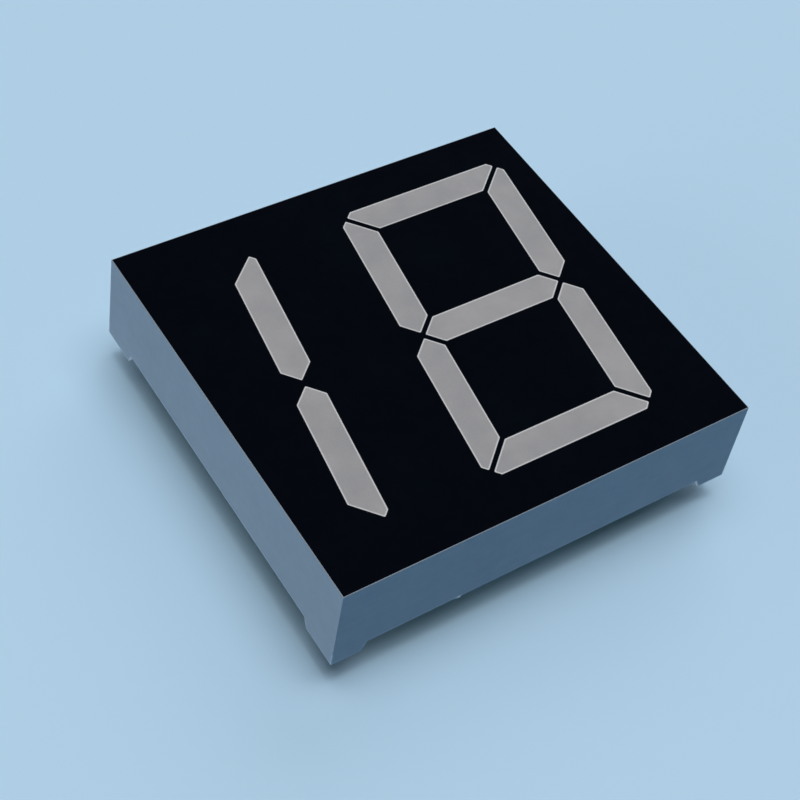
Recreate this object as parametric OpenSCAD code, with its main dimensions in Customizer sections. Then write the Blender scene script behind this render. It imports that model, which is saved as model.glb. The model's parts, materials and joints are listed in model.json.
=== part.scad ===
// One-and-a-half digit LED display: a tens digit that shows only "1" and a full units digit.
// Millimetres. +X runs along the digits, +Y up the digits, +Z out of the face. The origin is
// the centre of the pin field, on the plane of the board that the corner feet stand on.

/* [Case] */
// Width of the face, along the digits
case_w = 50.2; // [49:0.1:70]
// Height of the face, up the digits
case_h = 47.8; // [46.5:0.1:64]
// Depth of the side walls behind the face
case_d = 10.5; // [9.8:0.1:14]
// Outward slope of the side walls, in degrees
wall_draft = 1.25; // [0:0.25:2.5]
// Thickness of the side walls at the face
wall_t = 1.2; // [0.9:0.1:1.6]
// Thickness of the front plate
plate_t = 1.2; // [0.8:0.1:2]
// Width of the ledge that the circuit board rests on
ledge_w = 0.8; // [0.5:0.1:1]
// Thickness of the ribs behind the front plate
rib_t = 1; // [0.7:0.1:1.5]

/* [Corner feet] */
// Height of the feet below the side walls
foot_h = 1.3; // [0.8:0.1:2]
// Length of a foot along the width of the case
foot_x = 3.5; // [2.5:0.1:6]
// Length of a foot along the height of the case
foot_y = 4.8; // [2.5:0.1:6]
// Slope of a foot's ends, measured along the wall
foot_slope = 0.6; // [0:0.1:1.2]

/* [Digits] */
// Height of the digits
digit_h = 38.1; // [31:0.05:39.5]
// Width of the units digit before it is slanted
digit_w = 22.05; // [18:0.05:24]
// Slant of the digits, in degrees
slant = 8; // [0:0.5:10]
// Width of a light bar
bar_w = 3.63; // [3:0.01:4.4]
// Gap between neighbouring light bars
bar_gap = 0.5; // [0.4:0.05:0.8]
// Size of the cut on the digit's outer corners
corner_cut = 1.7; // [1:0.05:2.2]
// Radius of the corners of a light bar
corner_r = 0.15; // [0.1:0.05:0.4]
// Distance from the centre of the case to the centre of the units digit
units_x = 8.43; // [7:0.01:9]
// Distance between the tens digit and the units digit
digit_pitch = 33; // [30:0.1:33.5]

/* [Light wells] */
// Depth of the light bars, from the face to the circuit board
light_d = 7.2; // [6:0.1:8.5]
// Slope of the wells' walls, in degrees
well_draft = 6; // [2:0.5:7]
// Depth of a well's upright mouth
well_land = 0.5; // [0.2:0.1:1]
// Thickness of the wall around a well at the front plate
well_wall = 0.9; // [0.6:0.05:1.1]
// Thickness of the black film on the face
film_t = 0.05; // [0.03:0.01:0.2]
// Bare edge of the case around the film
film_margin = 0.09; // [0.03:0.01:0.3]

/* [Circuit board] */
// Thickness of the circuit board
board_t = 1.6; // [1:0.1:1.9]
// Gap between the circuit board and the case
board_gap = 0.25; // [0.1:0.05:0.4]
// Thickness of the copper on the circuit board
copper_t = 0.035; // [0.018:0.001:0.07]
// Diameter of the moulded pegs that hold the circuit board
peg_d = 2; // [1.5:0.1:2.4]
// Clearance around a peg in its hole, on each side
peg_gap = 0.1; // [0.05:0.01:0.2]

/* [Pins] */
// Distance between neighbouring pins of a row
pin_pitch = 2.54; // [2.2:0.01:3]
// Distance between the two rows of pins
row_gap = 40.64; // [40.2:0.01:41.5]
// Diameter of the free end of a pin
pin_d = 0.5; // [0.4:0.01:0.6]
// Length of a pin below the feet
pin_free = 3.7; // [2.5:0.1:5]
// Diameter of a pin where it passes through the circuit board
shank_d = 0.9; // [0.85:0.05:1]
// Clearance around a pin in its hole, on each side
shank_gap = 0.05; // [0.03:0.01:0.1]

/* [LED chips] */
// Side length of a chip
chip_w = 0.35; // [0.25:0.01:0.5]
// Height of a chip
chip_h = 0.25; // [0.15:0.01:0.3]
// Diameter of a bond wire
wire_d = 0.03; // [0.025:0.005:0.05]

/* [Hidden] */
$fn = 48;
cut = 1; // how far a cutting shape runs past what it cuts

// Heights of the main planes
face_z = foot_h + case_d;
plate_z = face_z - film_t;
plate_back_z = plate_z - plate_t;
land_z = face_z - well_land;
board_z = face_z - light_d;
board_back_z = board_z - board_t;
tip_z = -pin_free;

// Outlines of the pocket in the back of the case and of the circuit board in it
pocket = [case_w - 2 * wall_t, case_h - 2 * wall_t];
core = [pocket.x - 2 * ledge_w, pocket.y - 2 * ledge_w];
board = [pocket.x - 2 * board_gap, pocket.y - 2 * board_gap];

// Centre lines of the units digit's bars, measured from its centre before the slant
column_x = (digit_w - bar_w) / 2;
row_y = (digit_h - bar_w) / 2;
tens_x = units_x - digit_pitch;
corner_steps = 3; // segments in the rounding of each corner of a bar

// Pegs with their bosses: two inside the units digit, two between the digits, one at the left
boss_d = peg_d + 1.6;
peg_head_d = peg_d + 1.4;
peg_head_h = 0.8;
tens_column_x = tens_x + column_x;
between_x = (tens_column_x + units_x - column_x) / 2;
left_x = (tens_column_x - bar_w / 2 - well_wall - core.x / 2) / 2;
pegs = [
    for (p = [[units_x, row_y / 2], [units_x, -row_y / 2], [between_x, row_y * 0.7],
        [between_x, -row_y * 0.7], [left_x, 0]]) slanted(p)
];

// Pins, numbered anticlockwise from the lower left as seen from the face
row_pins = 6;
pin_head_d = shank_d + 0.5;
pin_head_h = 0.3;
pin_pocket_gap = 0.25; // clearance around a pin's head in the back of the case
pin_tip = 0.1; // cut on the end of a pin
pad_d = shank_d + 1.1;
solder_h = 1;
solder_d = pad_d - 0.1;
shank_z = board_back_z - solder_h - 0.15; // lower end of a pin's shank
hole_d = shank_d + 2 * shank_gap;

// The resin bead that seals the circuit board into the pocket
bead_w = 0.9;
bead_h = 0.8;
bead_lip = 0.12;

// Tracks on the back of the circuit board, with the lacquer over them
track_h = 0.05;
track_w = 0.4;
feed_w = 0.7; // the tracks that feed a whole digit
track_out = 1.2; // how far a track leaves a pin sideways before it runs level
via_d = 1;
via_hole_d = 0.4;

// What is left of the moulding gate on the lower edge of the front wall
gate_x = -10.3;
gate_w = 0.5;
gate_h = 0.15;
gate_t = 0.35;
gate_inset = 0.1;

// Copper under the chips: three pads in line on each bar, a chip on the first two
copper_w = 0.9;
chip_at = 0.25; // place of the chips, as a share of the bar's length from each end
pad_end = 0.6; // copper beyond a chip's centre
pad_space = 0.4; // gap between neighbouring pads
wire_span = pad_end + pad_space + 0.25; // from a chip's centre to where its wire lands
wire_rise = 0.28; // height of a wire's loop over the line between its ends

// Bars of a digit: [letter, start, end, whether each end is an outer corner of the digit]. The
// outside of the digit is on the left on the way from start to end. Other ends are points.
BARS = [
    ["a", [-column_x, row_y], [column_x, row_y], [true, true]],
    ["b", [column_x, row_y], [column_x, 0], [true, false]],
    ["c", [column_x, 0], [column_x, -row_y], [false, true]],
    ["d", [column_x, -row_y], [-column_x, -row_y], [true, true]],
    ["e", [-column_x, -row_y], [-column_x, 0], [true, false]],
    ["f", [-column_x, 0], [-column_x, row_y], [false, true]],
    ["g", [-column_x, 0], [column_x, 0], [false, false]]
];
TENS_BARS = ["b", "c"];

function bar_named(letter) = BARS[search([letter], BARS)[0]];

// A point of the upright digits, carried to where the slant takes it
function slanted(p) = [p.x + p.y * tan(slant), p.y];

function rect(size) = [
    [-size.x / 2, -size.y / 2], [size.x / 2, -size.y / 2],
    [size.x / 2, size.y / 2], [-size.x / 2, size.y / 2]
];

// Size of the case's outside at a height, with the draft of its walls
function case_at(z) = [case_w, case_h] + 2 * (face_z - z) * tan(wall_draft) * [1, 1];

// The end of a bar that starts at 0 and runs along +X, from its outer side to its inner side. h is
// half the bar's width, s how far its point stays from 0, and k the cut on the digit's corner.
function end_points(corner, h, s, k) = corner
    ? [[k - h, h], [(k + s) / 2 - h, h - (k - s) / 2], [h + s, -h]]
    : [[s + h, h], [s, 0], [s + h, -h]];

// Outline of a bar in its own axes, anticlockwise, drawn in by inset on every side
function bar_points(length, corners, inset) = let (
    h = bar_w / 2 - inset,
    s = bar_gap / sqrt(2) + inset * sqrt(2),
    k = corner_cut - inset * (2 - sqrt(2)),
    far = end_points(corners[1], h, s, k)
) concat(end_points(corners[0], h, s, k), [for (i = [2, 1, 0]) [length - far[i].x, far[i].y]]);

// An anticlockwise outline with each corner replaced by an arc of radius r
function rounded(points, r) = let (n = len(points)) [
    for (i = [0 : n - 1]) let (
        p = points[i],
        back = points[(i + n - 1) % n] - p,
        on = points[(i + 1) % n] - p,
        a = back / norm(back),
        b = on / norm(on),
        half = acos(a * b) / 2,
        centre = p + (a + b) / norm(a + b) * r / sin(half),
        from = atan2(-a.y, -a.x) - 90,
        turn = 180 - 2 * half
    ) for (j = [0 : corner_steps]) let (t = from + turn * j / corner_steps)
        centre + r * [cos(t), sin(t)]
];

// Outline of a bar where it lies on the face, drawn in by inset, with corners of radius r
function bar_outline(bar, digit_x, inset = 0, r = corner_r) = let (
    way = bar[2] - bar[1],
    length = norm(way),
    u = way / length,
    left = [-u.y, u.x],
    points = bar_points(length, bar[3], inset)
) [
    for (p = r > 0 ? rounded(points, r) : points)
        slanted(bar[1] + u * p.x + left * p.y) + [digit_x, 0]
];

// Every bar of the display with the place of its digit
ALL_BARS = concat(
    [for (bar = BARS) [bar, units_x]],
    [for (letter = TENS_BARS) [bar_named(letter), tens_x]]
);

// Place of a pin
function pin_at(n) = let (
    i = (n - 1) % row_pins,
    x = (i - (row_pins - 1) / 2) * pin_pitch
) n <= row_pins ? [x, -row_gap / 2] : [-x, row_gap / 2];
pin_places = [for (n = [1 : 2 * row_pins]) pin_at(n)];

// Tracks: [pin, digit, place of the via on the upright digit, width, whether the track leaves its
// pin sideways and then runs level, or straight towards the middle of the board]
TRACKS = [
    [1, tens_x, [column_x, -0.77 * row_y], track_w, true],
    [2, tens_x, [column_x, -0.1 * row_y], feed_w, false],
    [3, units_x, [-column_x, -0.77 * row_y], track_w, false],
    [4, units_x, [-0.28 * column_x, -row_y], track_w, false],
    [6, units_x, [column_x, -0.77 * row_y], track_w, true],
    [7, units_x, [column_x, 0.77 * row_y], track_w, true],
    [8, units_x, [-0.53 * column_x, row_y], track_w, false],
    [9, units_x, [-column_x, 0.64 * row_y], track_w, false],
    [10, units_x, [-0.59 * column_x, 0], track_w, false],
    [11, units_x, [-column_x, -0.32 * row_y], feed_w, false],
    [12, tens_x, [column_x, 0.72 * row_y], track_w, false]
];

// The points of a track, which bends by 45 degrees
function track_path(t) = let (
    from = pin_at(t[0]),
    to = slanted(t[2]) + [t[1], 0],
    side = sign(to.x - from.x),
    inward = -sign(from.y),
    level = from.y + inward * track_out
) t[4]
    ? [from, [from.x + side * track_out, level], [to.x - side * abs(to.y - level), level], to]
    : [from, [from.x, to.y - inward * abs(to.x - from.x)], to];

// One side of a track, at a distance to the left of its path
function track_side(path, h) = [
    for (i = [0 : len(path) - 1]) let (
        on = path[min(i + 1, len(path) - 1)] - path[min(i, len(path) - 2)],
        back = path[max(i, 1)] - path[max(i - 1, 0)],
        a = [-on.y, on.x] / norm(on),
        b = [-back.y, back.x] / norm(back)
    ) path[i] + h * (a + b) / (1 + a * b)
];

// Outline of a whole track, h wide on each side of its path
function track_outline(path, h) = let (left = track_side(path, h)) concat(
    track_side(path, -h), [for (i = [len(path) - 1 : -1 : 0]) left[i]]
);

// A solid through a stack of outlines with equally many points, each [outline, height]
module loft(rings) {
    n = len(rings[0][0]);
    last = len(rings) - 1;
    polyhedron(
        points = [for (ring = rings, p = ring[0]) [p.x, p.y, ring[1]]],
        faces = concat(
            [[for (i = [0 : n - 1]) i]],
            [[for (i = [0 : n - 1]) (last + 1) * n - 1 - i]],
            [
                for (k = [0 : last - 1], i = [0 : n - 1]) let (
                    low = k * n + i,
                    low_next = k * n + (i + 1) % n
                ) each [[low, low + n, low_next + n], [low, low_next + n, low_next]]
            ]
        )
    );
}

// A box on the centre of the case, from one height to another
module slab(size, low, high) {
    translate([-size.x / 2, -size.y / 2, low]) cube([size.x, size.y, high - low]);
}

// Children with +X along the slanted centre line of a bar, from its start, on the circuit board
module along_bar(bar, digit_x) {
    start = slanted(bar[1]) + [digit_x, 0];
    end = slanted(bar[2]) + [digit_x, 0];
    way = end - start;
    $bar_length = norm(way);
    translate([start.x, start.y, board_z]) rotate(atan2(way.y, way.x)) children();
}

// The shape of one well between two heights: upright at its mouth, and below it drawn in by the
// draft on every side, so that each wall is one sloping plane
module well(bar, digit_x, low, high) {
    sides = bar_outline(bar, digit_x, r = 0);
    n = len(sides);
    far = digit_h;
    difference() {
        translate([0, 0, low]) linear_extrude(high - low) polygon(bar_outline(bar, digit_x));
        for (i = [0 : n - 1]) {
            way = sides[(i + 1) % n] - sides[i];
            translate([sides[i].x, sides[i].y, land_z]) rotate(atan2(way.y, way.x))
                rotate([well_draft, 0, 0]) translate([-far, -far, -far]) cube([2 * far, far, far]);
        }
    }
}

// Walls around the wells, ribs and bosses: what stands behind the front plate
module inner_walls() {
    depth = plate_z - board_z;
    translate([0, 0, board_z]) {
        for (b = ALL_BARS) linear_extrude(depth)
            polygon(bar_outline(b[0], b[1], -well_wall, corner_r + well_wall));
        for (y = [-1, -0.5, 0, 0.5, 1]) translate([-pocket.x / 2, y * row_y - rib_t / 2, 0])
            cube([pocket.x, rib_t, depth]);
        for (p = pegs) translate(p) cylinder(d = boss_d, h = depth);
    }
}

// The rim between two feet, cut away along one pair of walls
module rim_cut(length, foot, across) {
    low = length / 2 - foot;
    high = low - foot_slope;
    rotate([90, 0, 0]) translate([0, 0, -across / 2]) linear_extrude(across)
        polygon([[-low, -cut], [low, -cut], [low, 0], [high, foot_h], [-high, foot_h], [-low, 0]]);
}

// The moulded shell, with its front plate, wells, board pocket, pegs and corner feet
module reflector_case() {
    foot_size = case_at(0);
    color("gainsboro") {
        difference() {
            loft([[rect(foot_size), 0], [rect(case_at(plate_z)), plate_z]]);
            difference() {
                slab(core, board_z - cut, plate_back_z);
                inner_walls();
            }
            slab(pocket, -cut, board_z);
            rim_cut(foot_size.x, foot_x, foot_size.y + 2 * cut);
            rotate(90) rim_cut(foot_size.y, foot_y, foot_size.x + 2 * cut);
            for (b = ALL_BARS) well(b[0], b[1], board_z - cut, face_z);
            for (p = pin_places) translate([p.x, p.y, board_z - cut])
                cylinder(d = pin_head_d + 2 * pin_pocket_gap, h = cut + pin_head_h + pin_pocket_gap);
        }
        for (p = pegs) translate(p) peg();
        gate_mark();
    }
}

// What the cut-off gate left under the rim of the front wall
module gate_mark() {
    translate([gate_x - gate_w / 2, -case_at(foot_h).y / 2 + gate_inset, foot_h - gate_h])
        cube([gate_w, gate_t, gate_h + gate_t]);
}

// A peg through the circuit board, with its end melted over into a low dome
module peg() {
    root = rib_t; // how far it runs up into its boss
    translate([0, 0, board_back_z]) cylinder(d = peg_d, h = board_t + root);
    dome_r = (peg_head_d ^ 2 / 4 + peg_head_h ^ 2) / (2 * peg_head_h);
    translate([0, 0, board_back_z]) rotate_extrude() intersection() {
        translate([0, dome_r - peg_head_h]) circle(dome_r, $fn = 96);
        translate([0, -peg_head_h]) square([peg_head_d / 2, peg_head_h]);
    }
}

// The black film on the face, with a window for each bar
module face_film() {
    color("black") translate([0, 0, plate_z]) linear_extrude(film_t) difference() {
        square([case_w, case_h] - 2 * film_margin * [1, 1], center = true);
        for (b = ALL_BARS) polygon(bar_outline(b[0], b[1]));
    }
}

// A bar of milky resin, cast in its well around the chips and wires
module light_bar(bar, digit_x) {
    color("lightgray") difference() {
        well(bar, digit_x, board_z, face_z);
        bar_copper(bar, digit_x);
        chips(bar, digit_x);
        bond_wire_pair(bar, digit_x);
    }
}

// Distances of the two chips from the start of a bar
function chip_places() = [chip_at * $bar_length, (1 - chip_at) * $bar_length];

// Copper pads under one bar: one for each chip, and one for the last wire
module bar_copper(bar, digit_x) {
    along_bar(bar, digit_x) {
        u = chip_places();
        space = pad_end + pad_space;
        for (span = [[u[0] - pad_end, u[0] + pad_end], [u[0] + space, u[1] + pad_end],
                [u[1] + space, u[1] + space + pad_end]])
            translate([span[0], -copper_w / 2, 0]) cube([span[1] - span[0], copper_w, copper_t]);
    }
}

// The two light-emitting chips of one bar
module chips(bar, digit_x) {
    color("goldenrod") along_bar(bar, digit_x) for (u = chip_places())
        translate([u - chip_w / 2, -chip_w / 2, copper_t]) cube([chip_w, chip_w, chip_h]);
}

// The two wires of one bar, each an arc from the top of a chip to the next pad
module bond_wire_pair(bar, digit_x) {
    chord = norm([wire_span, chip_h]);
    arc_r = (chord ^ 2 / 4 + wire_rise ^ 2) / (2 * wire_rise);
    half = asin(chord / 2 / arc_r);
    fall = atan2(chip_h, wire_span);
    centre = [wire_span, chip_h] / 2 - (arc_r - wire_rise) * [sin(fall), cos(fall)];
    spare = 1; // degrees of arc that reach into what it is welded to, and are trimmed off
    difference() {
        along_bar(bar, digit_x) for (u = chip_places())
            translate([u + centre.x, 0, copper_t + centre.y]) rotate([90, 0, 0])
                rotate(90 - fall - half - spare) rotate_extrude(angle = 2 * (half + spare))
                    translate([arc_r, 0]) circle(d = wire_d, $fn = 24);
        chips(bar, digit_x);
        bar_copper(bar, digit_x);
    }
}

module bond_wires() {
    color("gold") for (b = ALL_BARS) bond_wire_pair(b[0], b[1]);
}

// The circuit board, with holes for the pins and the pegs
module circuit_board() {
    color("darkseagreen") translate([0, 0, board_back_z]) linear_extrude(board_t) difference() {
        square(board, center = true);
        for (p = pin_places) translate(p) circle(d = hole_d);
        for (p = pegs) translate(p) circle(d = peg_d + 2 * peg_gap);
    }
}

// Copper on the circuit board: the pads in the wells and a ring around each pin
module copper_pads() {
    color("peru") {
        for (b = ALL_BARS) bar_copper(b[0], b[1]);
        for (n = [1 : 2 * row_pins]) translate(pin_at(n)) translate([0, 0, board_back_z - copper_t])
            linear_extrude(copper_t) difference() {
                pad_shape(n);
                circle(d = hole_d);
            }
    }
}

// Outline of the pad of a pin: square for the first, round for the others
module pad_shape(n) {
    if (n == 1) square(pad_d, center = true);
    else circle(d = pad_d);
}

// Tracks on the back of the circuit board under its lacquer, each from a pad to a via
module board_tracks() {
    color("seagreen") translate([0, 0, board_back_z - track_h]) for (t = TRACKS) difference() {
        path = track_path(t);
        end = path[len(path) - 1];
        linear_extrude(track_h) {
            polygon(track_outline(path, t[3] / 2));
            translate(end) circle(d = via_d);
        }
        translate([end.x, end.y, -cut]) cylinder(d = via_hole_d, h = track_h + 2 * cut);
        translate([path[0].x, path[0].y, -cut]) linear_extrude(track_h + 2 * cut) pad_shape(t[0]);
    }
}

// A round pin: its head on the front of the circuit board, a wide shank and a thin free end
module pin(n) {
    color("silver") translate(pin_at(n)) rotate_extrude($fn = 32) polygon([
        [0, board_z + pin_head_h], [pin_head_d / 2, board_z + pin_head_h],
        [pin_head_d / 2, board_z], [shank_d / 2, board_z], [shank_d / 2, shank_z],
        [pin_d / 2, shank_z], [pin_d / 2, tip_z + pin_tip],
        [pin_d / 2 - pin_tip, tip_z], [0, tip_z]
    ]);
}

// The solder around each pin: a hollow-sided cone on its copper ring
module solder_joints() {
    foot = [solder_d / 2, board_back_z - copper_t];
    top = [shank_d / 2 + 0.08, board_back_z - copper_t - solder_h];
    steps = 6;
    curve = [for (i = [0 : steps]) let (t = 90 * i / steps)
        [top.x + (foot.x - top.x) * (1 - sin(t)), foot.y + (top.y - foot.y) * (1 - cos(t))]];
    color("lightsteelblue") for (p = pin_places) translate(p) rotate_extrude($fn = 32)
        polygon(concat([[shank_d / 2, top.y], [shank_d / 2, foot.y]], curve));
}

// The bead of resin around the circuit board, which fills its gap and climbs the case's wall
module edge_sealant() {
    low = board_back_z - bead_h;
    inner = pocket - 2 * bead_w * [1, 1];
    lip = pocket - 2 * bead_lip * [1, 1];
    color("wheat") difference() {
        slab(pocket, low, board_z);
        slab(board, board_back_z, board_z + cut);
        loft([[rect(lip), low - cut], [rect(lip), low], [rect(inner), board_back_z],
            [rect(inner), board_z]]);
    }
}

reflector_case();
face_film();
light_bar(bar_named("a"), units_x);  // light_bar_a
light_bar(bar_named("b"), units_x);  // light_bar_b
light_bar(bar_named("c"), units_x);  // light_bar_c
light_bar(bar_named("d"), units_x);  // light_bar_d
light_bar(bar_named("e"), units_x);  // light_bar_e
light_bar(bar_named("f"), units_x);  // light_bar_f
light_bar(bar_named("g"), units_x);  // light_bar_g
light_bar(bar_named("b"), tens_x);  // light_bar_tens_b
light_bar(bar_named("c"), tens_x);  // light_bar_tens_c
circuit_board();
copper_pads();
board_tracks();
chips(bar_named("a"), units_x);  // led_chips_a
chips(bar_named("b"), units_x);  // led_chips_b
chips(bar_named("c"), units_x);  // led_chips_c
chips(bar_named("d"), units_x);  // led_chips_d
chips(bar_named("e"), units_x);  // led_chips_e
chips(bar_named("f"), units_x);  // led_chips_f
chips(bar_named("g"), units_x);  // led_chips_g
chips(bar_named("b"), tens_x);  // led_chips_tens_b
chips(bar_named("c"), tens_x);  // led_chips_tens_c
bond_wires();
pin(1);  // pin_1
pin(2);  // pin_2
pin(3);  // pin_3
pin(4);  // pin_4
pin(5);  // pin_5
pin(6);  // pin_6
pin(7);  // pin_7
pin(8);  // pin_8
pin(9);  // pin_9
pin(10);  // pin_10
pin(11);  // pin_11
pin(12);  // pin_12
solder_joints();
edge_sealant();
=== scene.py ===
"""Looks of the one-and-a-half digit seven segment display.

Finishes, edge radii, sealing bead, gate stub, floor, lamps and camera.
"""

import json
import math

import bmesh
import bpy
from mathutils import Matrix, Vector, noise

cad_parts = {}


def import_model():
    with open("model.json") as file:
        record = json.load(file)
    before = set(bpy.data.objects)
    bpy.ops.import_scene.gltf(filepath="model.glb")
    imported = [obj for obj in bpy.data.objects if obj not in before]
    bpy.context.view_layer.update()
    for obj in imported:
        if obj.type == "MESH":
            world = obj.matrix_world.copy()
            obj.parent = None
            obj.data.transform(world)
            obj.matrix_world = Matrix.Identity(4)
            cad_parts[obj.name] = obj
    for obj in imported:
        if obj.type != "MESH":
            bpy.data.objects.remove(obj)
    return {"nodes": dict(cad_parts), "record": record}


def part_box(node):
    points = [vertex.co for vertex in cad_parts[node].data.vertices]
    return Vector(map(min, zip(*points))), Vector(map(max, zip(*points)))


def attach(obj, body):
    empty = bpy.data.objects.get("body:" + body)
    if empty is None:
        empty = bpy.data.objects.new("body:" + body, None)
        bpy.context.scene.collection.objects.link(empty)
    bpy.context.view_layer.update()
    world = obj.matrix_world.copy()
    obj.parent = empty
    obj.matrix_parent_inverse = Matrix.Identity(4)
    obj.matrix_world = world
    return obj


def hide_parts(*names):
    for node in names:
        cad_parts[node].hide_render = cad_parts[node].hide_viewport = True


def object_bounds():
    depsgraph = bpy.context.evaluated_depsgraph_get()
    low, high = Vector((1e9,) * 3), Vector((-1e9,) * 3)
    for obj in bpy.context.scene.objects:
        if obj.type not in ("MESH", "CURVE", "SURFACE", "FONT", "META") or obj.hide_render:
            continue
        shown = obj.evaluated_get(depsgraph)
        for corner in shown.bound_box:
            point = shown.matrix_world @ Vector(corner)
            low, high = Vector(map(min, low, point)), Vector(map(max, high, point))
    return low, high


MM = 0.001
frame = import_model()
cad_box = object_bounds()
nodes = frame["nodes"]


# ---------------------------------------------------------------- colours and node helpers

NOISE_SPAN = (0.3, 0.7)  # where nearly all the values of a noise lie
EDGE_SAMPLES = 8


def lin(*rgb):
    """The linear colour with alpha that nodes take, from screen values of 0 to 255."""
    out = []
    for v in rgb:
        c = v / 255
        out.append(c / 12.92 if c <= 0.04045 else ((c + 0.055) / 1.055) ** 2.4)
    return (*out, 1.0)


class Look:
    """A material in the making, with textures in millimetres of the shared frame."""

    def __init__(self, name):
        self.material = bpy.data.materials.new(name)
        self.material.use_nodes = True
        self.tree = self.material.node_tree
        self.shader = self.tree.nodes["Principled BSDF"]
        self.coords = self.add("ShaderNodeTexCoord")
        scale = self.add("ShaderNodeVectorMath", operation="SCALE")
        scale.inputs["Scale"].default_value = 1 / MM
        self.link(self.coords.outputs["Object"], scale.inputs[0])
        self.mm = scale.outputs[0]

    def add(self, kind, **settings):
        node = self.tree.nodes.new(kind)
        for key, value in settings.items():
            setattr(node, key, value)
        return node

    def link(self, source, target):
        self.tree.links.new(source, target)

    def set(self, **values):
        for key, value in values.items():
            self.shader.inputs[key.replace("_", " ")].default_value = value

    def stretched(self, sx, sy, sz):
        """The coordinates scaled along each axis; a small scale draws a noise out."""
        node = self.add("ShaderNodeVectorMath", operation="MULTIPLY")
        node.inputs[1].default_value = (sx, sy, sz)
        self.link(self.mm, node.inputs[0])
        return node.outputs[0]

    def noise(self, scale, detail=2.0, rough=0.5, vector=None):
        node = self.add("ShaderNodeTexNoise")
        node.inputs["Scale"].default_value = scale
        node.inputs["Detail"].default_value = detail
        node.inputs["Roughness"].default_value = rough
        self.link(vector or self.mm, node.inputs["Vector"])
        return node.outputs["Fac"]

    def cloud(self, scale, detail=2.0, rough=0.5, to=(0.0, 1.0)):
        """A noise spread over the whole of a range; by itself it keeps near its middle."""
        return self.map(self.noise(scale, detail, rough), *NOISE_SPAN, *to)

    def cells(self, scale):
        node = self.add("ShaderNodeTexVoronoi")
        node.inputs["Scale"].default_value = scale
        self.link(self.mm, node.inputs["Vector"])
        return node.outputs["Distance"]

    def map(self, value, low, high, out_low=0.0, out_high=1.0):
        """Maps low to out_low and high to out_high, and holds the ends beyond them."""
        node = self.add("ShaderNodeMapRange")
        for key, number in (
            ("From Min", low),
            ("From Max", high),
            ("To Min", out_low),
            ("To Max", out_high),
        ):
            node.inputs[key].default_value = number
        self.link(value, node.inputs["Value"])
        return node.outputs["Result"]

    def fill(self, sockets, values):
        """Gives each socket its value: a number or colour as it is, an output by a link."""
        for socket, value in zip(sockets, values):
            if isinstance(value, (int, float, tuple)):
                socket.default_value = value
            else:
                self.link(value, socket)

    def math(self, operation, *values):
        node = self.add("ShaderNodeMath", operation=operation)
        self.fill(node.inputs, values)
        return node.outputs[0]

    def blend(self, share, a, b):
        """Colour a where share is 0, colour b where it is 1."""
        node = self.add("ShaderNodeMix", data_type="RGBA")
        share_in, a_in, b_in = node.inputs["Factor"], node.inputs[6], node.inputs[7]
        self.fill((share_in, a_in, b_in), (share, a, b))
        return node.outputs[2]

    def mix_shaders(self, share, a, b):
        node = self.add("ShaderNodeMixShader")
        self.fill(node.inputs, (share, a, b))
        return node.outputs[0]

    def bump(self, height, strength, depth_mm, normal=None):
        node = self.add("ShaderNodeBump")
        node.inputs["Strength"].default_value = strength
        node.inputs["Distance"].default_value = depth_mm * MM
        self.link(height, node.inputs["Height"])
        if normal:
            self.link(normal, node.inputs["Normal"])
        return node.outputs["Normal"]

    def hollows(self, distance_mm, inside=False):
        """0 on open faces, more near inner corners, or outer edges if inside is set."""
        node = self.add("ShaderNodeAmbientOcclusion", samples=EDGE_SAMPLES, inside=inside)
        node.inputs["Distance"].default_value = distance_mm * MM
        return self.math("SUBTRACT", 1.0, node.outputs["AO"])

    def upward(self, vector):
        node = self.add("ShaderNodeSeparateXYZ")
        self.link(vector, node.inputs[0])
        return node.outputs["Z"]

    def height_mm(self):
        """Height above the plane of the feet's lower ends."""
        return self.upward(self.mm)

    def facing_up(self):
        """The upward part of the surface's direction: 1 on top, -1 underneath."""
        return self.upward(self.coords.outputs["Normal"])

    def into(self, **sockets):
        """Links outputs to the shader's sockets and gives the finished material."""
        for key, value in sockets.items():
            self.link(value, self.shader.inputs[key.replace("_", " ")])
        return self.material


# ---------------------------------------------------------------- finishes

HIGHLIGHT_AND_SCUFF_ENDS_MM = (1.5, 1.9)  # height over which the lower edges' painted highlight and scuffs fade out


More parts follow.
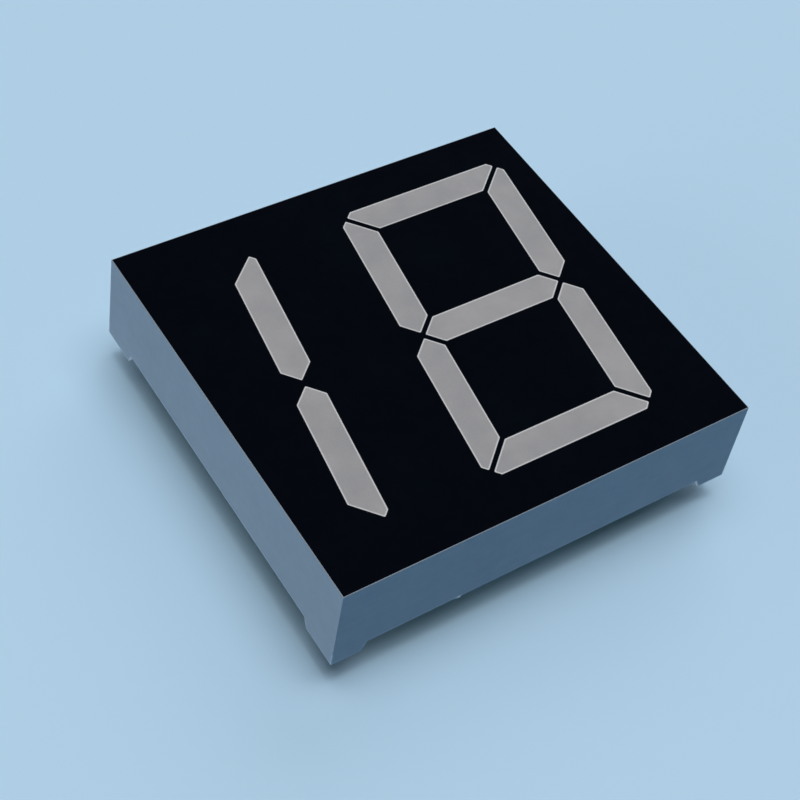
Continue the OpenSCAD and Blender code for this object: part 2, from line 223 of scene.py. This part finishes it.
def case_plastic():
    """Light cool grey moulded plastic, fine eroded texture, rubbed edges, painted shade and
    highlights.
    """
    look = Look("case_plastic")
    look.set(Specular_IOR_Level=0.35)
    cloud = look.cloud(0.09, 3, 0.55)
    tone = look.blend(cloud, lin(139, 152, 163), lin(147, 159, 170))
    flow = look.noise(1.0, 4, 0.6, look.stretched(0.12, 0.12, 1.4))
    tone = look.blend(look.map(flow, 0.35, 0.75, 0, 0.25), tone, lin(130, 143, 155))
    rub = look.map(look.hollows(0.35, inside=True), 0.35, 0.8, 0, 0.55)
    rub = look.math("MULTIPLY", rub, look.map(look.noise(1.6, 3), 0.35, 0.65))
    tone = look.blend(rub, tone, lin(172, 182, 191))
    # lower edges lighter: a painted highlight line, partly also rubbed scuffs
    highlight_and_scuff = look.map(look.hollows(0.22, inside=True), 0.02, 0.22)
    highlight_and_scuff = look.math("MULTIPLY", highlight_and_scuff, look.map(look.height_mm(), *HIGHLIGHT_AND_SCUFF_ENDS_MM, 1, 0))
    highlight_and_scuff = look.math("MULTIPLY", highlight_and_scuff, look.cloud(0.9, 3, to=(0.5, 0.9)))
    tone = look.blend(highlight_and_scuff, tone, lin(190, 200, 209))
    # darker in inner corners and hollows, found by ambient occlusion: painted shade
    hollow_shade = look.map(look.hollows(1.2), 0.3, 0.9, 0, 0.35)
    tone = look.blend(hollow_shade, tone, lin(104, 112, 119))
    # upward faces darkened: painted shade on the top of the case
    painted_light_share = look.map(look.facing_up(), 0.5, 0.95, 0, 0.75)
    tone = look.blend(painted_light_share, tone, lin(112, 120, 130))
    grain = look.noise(7.5, 3, 0.65)
    rough = look.cloud(0.8, 3, to=(0.44, 0.56))
    return look.into(
        Base_Color=tone, Roughness=rough, Normal=look.bump(grain, 0.35, 0.012)
    )


def torn_plastic():
    """The case's plastic where it was torn off at the gate: fibrous, whitened by stress."""
    look = Look("torn_plastic")
    look.set(Specular_IOR_Level=0.3)
    fibre = look.noise(1.0, 3, 0.6, look.stretched(9, 9, 3))
    pale = look.map(fibre, *NOISE_SPAN)
    tone = look.blend(pale, lin(205, 212, 218), lin(236, 240, 243))
    rough = look.map(fibre, *NOISE_SPAN, 0.5, 0.7)
    return look.into(Base_Color=tone, Roughness=rough, Normal=look.bump(fibre, 0.5, 0.03))


def black_film():
    """Deep matte black ink, with the faint weave of the screen it was printed through."""
    look = Look("black_film")
    look.set(Specular_IOR_Level=0.012)
    tone = look.blend(look.cloud(0.12, 3), lin(1, 3, 8), lin(2, 5, 11))
    speck = look.map(look.noise(11, 1), 0.74, 0.8, 0, 0.3)
    tone = look.blend(speck, tone, lin(14, 17, 22))
    rough = look.cloud(0.6, 4, 0.6, to=(0.62, 0.74))
    weave = look.noise(9, 2, 0.6)
    return look.into(
        Base_Color=tone, Roughness=rough, Normal=look.bump(weave, 0.25, 0.006)
    )


def milky_resin():
    """Cast resin with a diffuser in it: milky grey, faintly cloudy, soft satin surface.

    The film's ink reaches a few hundredths of a millimetre over its edges.
    """
    look = Look("milky_resin")
    look.set(
        Specular_IOR_Level=0.35,
        Subsurface_Weight=0.2,
        Subsurface_Radius=(1.0, 1.0, 1.0),
        Subsurface_Scale=0.4 * MM,
    )
    cloud = look.map(look.noise(0.22, 4, 0.55), 0.32, 0.68)
    tone = look.blend(cloud, lin(131, 130, 132), lin(145, 143, 144))
    powder = look.map(look.noise(5.0, 3, 0.7), 0.35, 0.7, 0, 0.3)
    tone = look.blend(powder, tone, lin(153, 151, 152))
    # bars lighter along their outer edges: painted highlight
    painted_light_share = look.map(look.hollows(0.26, inside=True), 0.04, 0.3, 0, 0.9)
    tone = look.blend(painted_light_share, tone, lin(206, 205, 206))
    ink = look.map(look.hollows(0.1, inside=True), 0.17, 0.3)
    tone = look.blend(ink, tone, lin(4, 6, 12))
    rough = look.cloud(0.9, 4, 0.6, to=(0.42, 0.56))
    ripple = look.noise(0.5, 2)
    skin = look.bump(look.noise(6, 3, 0.6), 0.2, 0.008, look.bump(ripple, 0.3, 0.05))
    return look.into(Base_Color=tone, Roughness=rough, Normal=skin)


def board_laminate():
    """Glass-fibre board under green solder mask, with straw-coloured laminate edges."""
    look = Look("board_laminate")
    look.set(Coat_Weight=0.4, Coat_Roughness=0.12)
    flat = look.map(look.math("ABSOLUTE", look.facing_up()), 0.4, 0.6)
    across = look.noise(1.0, 1, 0.5, look.stretched(2.2, 0.25, 1))
    along = look.noise(1.0, 1, 0.5, look.stretched(0.25, 2.2, 1))
    weave = look.math("ADD", across, along)
    mask = look.blend(look.map(weave, 0.8, 1.2), lin(14, 74, 46), lin(22, 92, 56))
    edge = look.blend(look.noise(3, 3), lin(168, 160, 104), lin(196, 186, 132))
    tone = look.blend(flat, edge, mask)
    rough = look.cloud(0.7, 3, to=(0.24, 0.36))
    return look.into(
        Base_Color=tone, Roughness=rough, Normal=look.bump(weave, 0.3, 0.02)
    )


def track_lacquer():
    """The same solder mask where it covers a track: lighter and smoother."""
    look = Look("track_lacquer")
    look.set(Coat_Weight=0.5, Coat_Roughness=0.1)
    tone = look.blend(look.cloud(0.8, 3), lin(34, 112, 66), lin(44, 126, 74))
    rough = look.cloud(1.1, 3, to=(0.2, 0.32))
    return look.into(
        Base_Color=tone, Roughness=rough, Normal=look.bump(look.noise(2.0, 2), 0.2, 0.02)
    )


def copper():
    """Plated copper with a little tarnish."""
    look = Look("copper")
    look.set(Metallic=1.0)
    tarnish = look.map(look.noise(1.2, 4, 0.6), 0.4, 0.7)
    tone = look.blend(tarnish, lin(214, 150, 104), lin(160, 98, 62))
    rough = look.cloud(4, 3, to=(0.25, 0.42))
    return look.into(Base_Color=tone, Roughness=rough)


def chip():
    """Polished semiconductor of a warm gold cast."""
    look = Look("chip")
    look.set(Roughness=0.2, Coat_Weight=0.5)
    tone = look.blend(look.noise(9, 2), lin(176, 140, 58), lin(206, 170, 84))
    return look.into(Base_Color=tone)


def gold_wire():
    """Bright drawn gold."""
    look = Look("gold_wire")
    look.set(Metallic=1.0)
    tone = look.blend(look.noise(6, 2), lin(250, 214, 130), lin(232, 190, 104))
    rough = look.cloud(12, 2, to=(0.14, 0.26))
    return look.into(Base_Color=tone, Roughness=rough)


def pin_metal():
    """Tinned wire: fine drawn lines along the pin and a dull bloom."""
    look = Look("pin_metal")
    look.set(Metallic=1.0)
    lines = look.noise(1.0, 2, 0.6, look.stretched(14, 14, 0.5))
    bloom = look.map(look.noise(1.4, 3), 0.35, 0.7)
    tone = look.blend(bloom, lin(214, 214, 210), lin(176, 177, 176))
    dull = look.map(bloom, 0, 1, 0.2, 0.34)
    rough = look.math("ADD", dull, look.map(lines, 0, 1, 0, 0.1))
    return look.into(
        Base_Color=tone, Roughness=rough, Normal=look.bump(lines, 0.3, 0.006)
    )


def solder():
    """Bright reflowed solder with faint frosting."""
    look = Look("solder")
    look.set(Metallic=1.0)
    frost = look.map(look.noise(2.2, 4, 0.6), 0.4, 0.7)
    tone = look.blend(frost, lin(222, 223, 222), lin(184, 186, 188))
    rough = look.map(frost, 0, 1, 0.14, 0.36)
    return look.into(
        Base_Color=tone, Roughness=rough, Normal=look.bump(look.noise(3.5, 2), 0.3, 0.03)
    )


def sealing_resin():
    """Straw-coloured potting resin, glossy, with small trapped bubbles."""
    look = Look("sealing_resin")
    look.set(
        Roughness=0.12,
        Coat_Weight=0.6,
        Coat_Roughness=0.05,
        Subsurface_Weight=0.35,
        Subsurface_Radius=(1.0, 0.8, 0.5),
        Subsurface_Scale=0.6 * MM,
    )
    tone = look.blend(look.cloud(0.35, 3), lin(196, 188, 156), lin(178, 168, 132))
    bubble = look.map(look.cells(2.4), 0.06, 0.12, 1, 0)
    tone = look.blend(look.math("MULTIPLY", bubble, 0.5), tone, lin(226, 222, 204))
    swell = look.bump(look.noise(0.6, 2), 0.5, 0.1)
    return look.into(Base_Color=tone, Normal=look.bump(bubble, 0.3, 0.03, swell))


FINISHES = {
    make.__name__: make()
    for make in (
        case_plastic,
        torn_plastic,
        black_film,
        milky_resin,
        board_laminate,
        track_lacquer,
        copper,
        chip,
        gold_wire,
        pin_metal,
        solder,
        sealing_resin,
    )
}

for part in frame["record"]["subparts"]:
    mesh = nodes[part["node"]].data
    mesh.materials.clear()
    mesh.materials.append(FINISHES[part["material_slot"]])


# ---------------------------------------------------------------- small radii on the case

EDGE_RADIUS = 0.05 * MM
EDGE_SEGMENTS = 2
SHARP_EDGE = math.radians(28)  # edges that turn by more than this are rounded
SAME_PLANE = math.radians(0.5)  # triangles that differ by less than this become one face
SAME_POINT = 0.001 * MM


def round_edges(node):
    """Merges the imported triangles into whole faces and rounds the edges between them."""
    weld = node.modifiers.new("weld", "WELD")
    weld.merge_threshold = SAME_POINT
    flat = node.modifiers.new("flat_faces", "DECIMATE")
    flat.decimate_type = "DISSOLVE"
    flat.angle_limit = SAME_PLANE
    flat.delimit = {"NORMAL"}
    bevel = node.modifiers.new("edge_radius", "BEVEL")
    bevel.width = EDGE_RADIUS
    bevel.segments = EDGE_SEGMENTS
    bevel.limit_method = "ANGLE"
    bevel.angle_limit = SHARP_EDGE
    bevel.harden_normals = True


round_edges(nodes["reflector_case"])


# ---------------------------------------------------------------- added pieces


def add_object(name, bm, material):
    """Makes an object of that name from a bmesh, and frees the bmesh."""
    mesh = bpy.data.meshes.new(name)
    bm.to_mesh(mesh)
    bm.free()
    mesh.materials.append(material)
    piece = bpy.data.objects.new(name, mesh)
    bpy.context.scene.collection.objects.link(piece)
    return piece


def smooth(piece):
    faces = piece.data.polygons
    faces.foreach_set("use_smooth", [True] * len(faces))


# ---------------------------------------------------------------- the sealing bead

BEAD_WIDTH = 0.9 * MM
BEAD_LIP = 0.12 * MM  # its width where it runs out up the wall
BEAD_CURVE_STEPS = 10
POCKET_RADIUS = 0.02 * MM  # the pocket's corners, which the bead fills
INNER_RADIUS = 0.8 * MM  # the most that the bead's inner corners are rounded by
ROUNDING_SHARE = 0.9  # of the inset, up to that most
CORNER_STEPS = 8
SIDE_STEPS = 40
board_low, board_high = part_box("circuit_board")
bead_low, bead_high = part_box("edge_sealant")


def ring_points(inset, radius):
    """Points around the pocket, drawn in by inset, with rounded corners."""
    half = Vector((bead_high.x - inset, bead_high.y - inset))
    corners = []
    for k, (sx, sy) in enumerate(((1, -1), (1, 1), (-1, 1), (-1, -1))):
        centre = Vector((sx * (half.x - radius), sy * (half.y - radius)))
        corner = []
        for i in range(CORNER_STEPS + 1):
            t = math.radians(-90 + 90 * k + 90 * i / CORNER_STEPS)
            corner.append(centre + Vector((math.cos(t), math.sin(t))) * radius)
        corners.append(corner)
    ring = []
    for corner, after in zip(corners, corners[1:] + corners[:1]):
        ring += corner
        ring += [corner[-1].lerp(after[0], i / SIDE_STEPS) for i in range(1, SIDE_STEPS)]
    return ring


def sealing_bead():
    """The resin's hollow meniscus, from flush on the board out and along the wall."""
    gap = bead_high.x - board_high.x
    rise = board_low.z - bead_low.z
    profile = [(0.0, bead_high.z), (gap, bead_high.z), (gap, board_low.z)]
    for i in range(BEAD_CURVE_STEPS + 1):
        t = math.radians(90 * i / BEAD_CURVE_STEPS)
        inset = BEAD_WIDTH - (BEAD_WIDTH - BEAD_LIP) * math.sin(t)
        profile.append((inset, board_low.z - rise * (1 - math.cos(t))))
    profile.append((0.0, bead_low.z))
    bm = bmesh.new()
    rings = []
    for inset, z in profile:
        radius = POCKET_RADIUS
        if inset > gap:
            radius = max(radius, min(inset * ROUNDING_SHARE, INNER_RADIUS))
        rings.append([bm.verts.new((p.x, p.y, z)) for p in ring_points(inset, radius)])
    count = len(rings[0])
    for a, b in zip(rings, rings[1:] + rings[:1]):
        for i in range(count):
            j = (i + 1) % count
            bm.faces.new((a[i], a[j], b[j], b[i]))
    bmesh.ops.recalc_face_normals(bm, faces=bm.faces)
    bead = add_object("sealing_bead", bm, FINISHES["sealing_resin"])
    smooth(bead)
    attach(bead, "root")
    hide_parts("edge_sealant")


sealing_bead()


# ---------------------------------------------------------------- the gate's stub

GATE_X = -10.3 * MM
RIM_Z = 1.3 * MM  # the case's lower edge between the feet
STUB_DEPTH = 0.11 * MM  # how far its middle lies behind the wall's lowest line
STUB_DROP = 0.06 * MM  # and below the edge
STUB_RADII_MM = Vector((0.3, 0.12, 0.24))
STUB_SUBDIVISIONS = 4
LUMPS = (1.6, 0.5)  # scale and depth of the coarse noise on it
SPLINTERS = (4.5, 0.2)  # and of the fine one
LUMP_SHIFT = Vector((3, 1, 2))


def gate_stub():
    """The torn stub left where the gate broke off, on the front wall's lower edge."""
    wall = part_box("reflector_case")[0].y
    bm = bmesh.new()
    bmesh.ops.create_icosphere(bm, subdivisions=STUB_SUBDIVISIONS, radius=1)
    for v in bm.verts:
        torn = 1 + LUMPS[1] * noise.noise(v.co * LUMPS[0] + LUMP_SHIFT)
        torn += SPLINTERS[1] * noise.noise(v.co * SPLINTERS[0])
        v.co = v.co * STUB_RADII_MM * torn * MM
        v.co += Vector((GATE_X, wall + STUB_DEPTH, RIM_Z - STUB_DROP))
    stub = add_object("gate_stub", bm, FINISHES["torn_plastic"])
    smooth(stub)
    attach(stub, "root")


gate_stub()


# ---------------------------------------------------------------- floor, light and camera

FLOOR_COLOUR = lin(176, 206, 228)
FLOOR_BOUNCE = lin(45, 140, 193)
FLOOR_RADIUS = 4.0
FLOOR_SIDES = 96
FLOOR_GAP = 0.01 * MM  # between the pins' tips and the floor


def floor_material():
    """A material that shows pale and bounces blue.

    The camera sees the pale colour with the shadow, and reflections show it plain. The
    light that the floor throws back on the object is a deeper blue, which is what the grey
    walls show. From below the camera looks through the floor.
    """
    look = Look("floor")
    look.set(Base_Color=FLOOR_COLOUR, Roughness=0.8, Specular_IOR_Level=0)
    path = look.add("ShaderNodeLightPath")
    bounce = look.add("ShaderNodeBsdfDiffuse")
    bounce.inputs["Color"].default_value = FLOOR_BOUNCE
    lit = look.mix_shaders(
        path.outputs["Is Camera Ray"], bounce.outputs[0], look.shader.outputs[0]
    )
    mirrored = look.add("ShaderNodeEmission")
    mirrored.inputs["Color"].default_value = FLOOR_COLOUR
    shiny = look.math(
        "MAXIMUM", path.outputs["Is Glossy Ray"], path.outputs["Is Transmission Ray"]
    )
    lit = look.mix_shaders(shiny, lit, mirrored.outputs[0])
    side = look.add("ShaderNodeNewGeometry")
    below = look.math("MULTIPLY", path.outputs["Is Camera Ray"], side.outputs["Backfacing"])
    unseen = look.math("MAXIMUM", below, path.outputs["Is Shadow Ray"])
    clear = look.add("ShaderNodeBsdfTransparent")
    surface = look.mix_shaders(unseen, lit, clear.outputs[0])
    look.link(surface, look.tree.nodes["Material Output"].inputs["Surface"])
    return look.material


def floor():
    """A plain floor just under the pins' tips."""
    bm = bmesh.new()
    bmesh.ops.create_circle(bm, cap_ends=True, segments=FLOOR_SIDES, radius=FLOOR_RADIUS)
    piece = add_object("floor", bm, floor_material())
    piece.location.z = cad_box[0].z - FLOOR_GAP


def sun(name, azimuth, elevation, strength, softness):
    """A soft lamp, its angles in degrees. The azimuth runs from +X towards +Y."""
    data = bpy.data.lights.new(name, "SUN")
    data.energy = strength
    data.angle = math.radians(softness)
    lamp = bpy.data.objects.new(name, data)
    a, e = math.radians(azimuth), math.radians(elevation)
    toward = Vector((math.cos(e) * math.cos(a), math.cos(e) * math.sin(a), math.sin(e)))
    lamp.rotation_mode = "QUATERNION"
    lamp.rotation_quaternion = toward.to_track_quat("Z", "Y")
    bpy.context.scene.collection.objects.link(lamp)
    return data


def without_bounce(lamp):
    """Lets a lamp light what is seen, straight or mirrored, but throw no light further."""
    lamp.use_nodes = True
    tree = lamp.node_tree
    path = tree.nodes.new("ShaderNodeLightPath")
    first = tree.nodes.new("ShaderNodeMath")
    first.operation = "LESS_THAN"
    first.inputs[1].default_value = 0.5  # between no bounce and one
    tree.links.new(path.outputs["Diffuse Depth"], first.inputs[0])
    tree.links.new(first.outputs[0], tree.nodes["Emission"].inputs["Strength"])


WORLD_COLOUR = (0.86, 0.94, 1.0, 1)
WORLD_LEVEL = 0.1


def world():
    """Faint even light from all round, and the floor's colour behind everything."""
    scene_world = bpy.data.worlds.new("studio")
    bpy.context.scene.world = scene_world
    scene_world.use_nodes = True
    tree = scene_world.node_tree
    tree.nodes.clear()
    out = tree.nodes.new("ShaderNodeOutputWorld")
    both = tree.nodes.new("ShaderNodeMixShader")
    light = tree.nodes.new("ShaderNodeBackground")
    light.inputs["Color"].default_value = WORLD_COLOUR
    light.inputs["Strength"].default_value = WORLD_LEVEL
    seen = tree.nodes.new("ShaderNodeBackground")
    seen.inputs["Color"].default_value = FLOOR_COLOUR
    path = tree.nodes.new("ShaderNodeLightPath")
    rays = path.outputs["Is Camera Ray"]
    for other in ("Is Glossy Ray", "Is Transmission Ray"):
        most = tree.nodes.new("ShaderNodeMath")
        most.operation = "MAXIMUM"
        tree.links.new(rays, most.inputs[0])
        tree.links.new(path.outputs[other], most.inputs[1])
        rays = most.outputs[0]
    tree.links.new(rays, both.inputs[0])
    tree.links.new(light.outputs[0], both.inputs[1])
    tree.links.new(seen.outputs[0], both.inputs[2])
    tree.links.new(both.outputs[0], out.inputs["Surface"])


floor()
world()
sun("front_top_light", 325, 78, 1.07, 30)
sun("back_top_light", 145, 78, 0.85, 30)
sun("top_light", 55, 88, 0.39, 25)
sun("key_light", 40, 40, 0.61, 40)
sun("fill_light", 165, 8, 0.97, 50)
without_bounce(sun("under_light", 50, -87, 1.2, 15))

# The camera looks at AIM along a heading (0 is +Y, 90 is +X) and a pitch, and is rolled
AIM = Vector((-7.646, -6.337, 11.8)) * MM
DISTANCE = 171.226 * MM
HEADING = math.radians(41.231)
PITCH = math.radians(-50.302)
ROLL = math.radians(11.3)
LENS_MM = 75.434
SENSOR_MM = 36.0
CLIP_NEAR = 0.005
CLIP_FAR = 20


def camera():
    forward = Vector(
        (
            math.sin(HEADING) * math.cos(PITCH),
            math.cos(HEADING) * math.cos(PITCH),
            math.sin(PITCH),
        )
    )
    level_right = Vector((math.cos(HEADING), -math.sin(HEADING), 0))
    level_up = level_right.cross(forward)
    right = level_right * math.cos(ROLL) + level_up * math.sin(ROLL)
    up = right.cross(forward)
    data = bpy.data.cameras.new("camera")
    data.lens = LENS_MM
    data.sensor_width = SENSOR_MM
    data.clip_start = CLIP_NEAR
    data.clip_end = CLIP_FAR
    eye = bpy.data.objects.new("camera", data)
    eye.rotation_mode = "QUATERNION"
    eye.rotation_quaternion = Matrix((right, up, -forward)).transposed().to_quaternion()
    eye.location = AIM - forward * DISTANCE
    bpy.context.scene.collection.objects.link(eye)
    bpy.context.scene.camera = eye


camera()
bpy.context.scene.view_settings.view_transform = "Standard"
